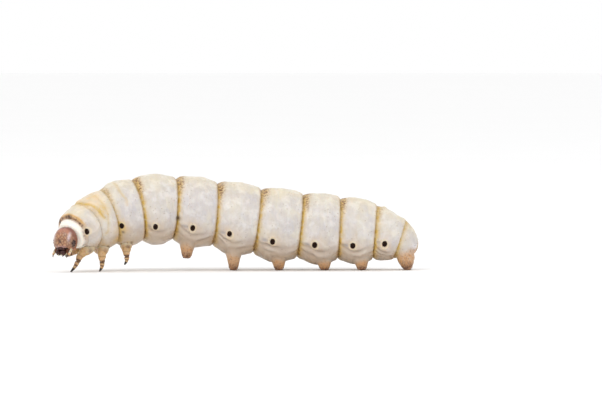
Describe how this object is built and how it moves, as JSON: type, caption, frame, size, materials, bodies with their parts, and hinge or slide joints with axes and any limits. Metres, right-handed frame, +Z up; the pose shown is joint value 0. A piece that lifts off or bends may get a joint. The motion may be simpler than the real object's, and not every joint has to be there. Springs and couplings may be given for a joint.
{
  "type": "silkworm",
  "caption": "Still, life-size silkworm larva: ringed cream body arched towards its left, amber head turned down, jointed front legs and soft prolegs.",
  "frame": {"origin": "middle of the box round the whole part, on the floor it rests on", "axes": "+X from head to tail, along the part's longest extent; +Z up; the animal's left side faces -Y"},
  "size_m": [0.037, 0.0122, 0.0098],
  "materials": {
    "skin": "satin",
    "head_shell": "semi-gloss",
    "mouth_horn": "semi-gloss",
    "leg_amber": "satin",
    "claw_horn": "semi-gloss",
    "foot": "satin"
  },
  "bodies": {
    "root": {"head_capsule": "head_shell", "labrum": "mouth_horn", "labium": "head_shell", "mandible_left": "mouth_horn", "mandible_right": "mouth_horn", "antenna_left": "leg_amber", "antenna_right": "leg_amber", "neck": "skin", "thorax_1": "skin", "thorax_2": "skin", "thorax_3": "skin", "abdomen_1": "skin", "abdomen_2": "skin", "abdomen_3": "skin", "abdomen_4": "skin", "abdomen_5": "skin", "abdomen_6": "skin", "abdomen_7": "skin", "tail": "skin", "leg_1_left": "leg_amber", "claw_1_left": "claw_horn", "leg_1_right": "leg_amber", "claw_1_right": "claw_horn", "leg_2_left": "leg_amber", "claw_2_left": "claw_horn", "leg_2_right": "leg_amber", "claw_2_right": "claw_horn", "leg_3_left": "leg_amber", "claw_3_left": "claw_horn", "leg_3_right": "leg_amber", "claw_3_right": "claw_horn", "proleg_2_left": "skin", "proleg_2_right": "skin", "proleg_3_left": "skin", "proleg_3_right": "skin", "proleg_4_left": "skin", "proleg_4_right": "skin", "proleg_5_left": "skin", "proleg_5_right": "skin", "proleg_6_left": "skin", "proleg_6_right": "skin", "clasper_left": "foot", "clasper_right": "foot"}
  },
  "joints": []
}
